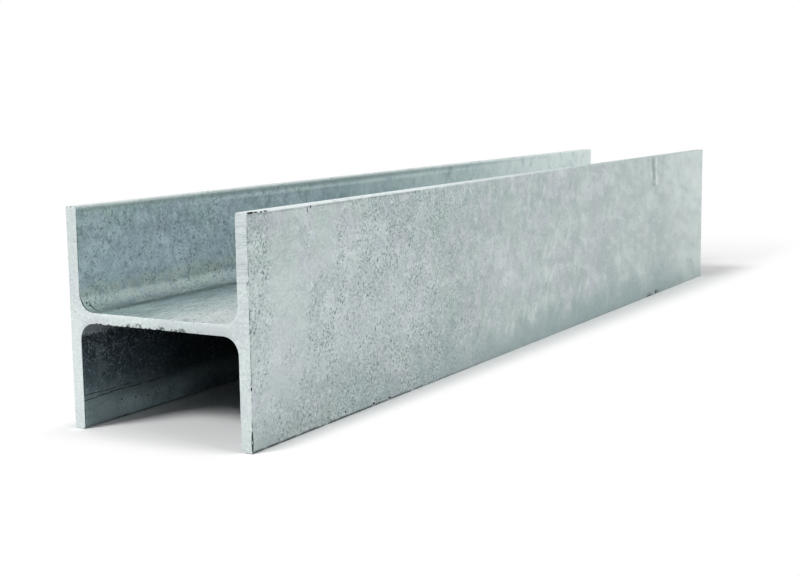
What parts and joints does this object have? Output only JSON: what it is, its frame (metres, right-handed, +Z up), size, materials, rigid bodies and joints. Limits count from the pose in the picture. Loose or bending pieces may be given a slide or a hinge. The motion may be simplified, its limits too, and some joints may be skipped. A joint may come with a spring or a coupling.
{
  "type": "steel h-beam post",
  "caption": "Short length of hot-rolled, galvanised steel H-section post, sawn square at both ends, lying on its flange toes with the web level.",
  "frame": {"origin": "on the floor under the middle of the post: centre of the bounding box's underside, which is the plane of the two lower flange toes", "axes": "+X along the length from the front sawn end to the rear one, +Y across from the near flange to the far flange, +Z up along the flanges' width"},
  "size_m": [0.6, 0.0974, 0.099],
  "materials": {
    "galvanised_steel": "hot-dip galvanised, dull satin grey with fine mottling and pale sawn ends"
  },
  "bodies": {
    "root": {"h_beam_post": "galvanised_steel"}
  },
  "joints": []
}
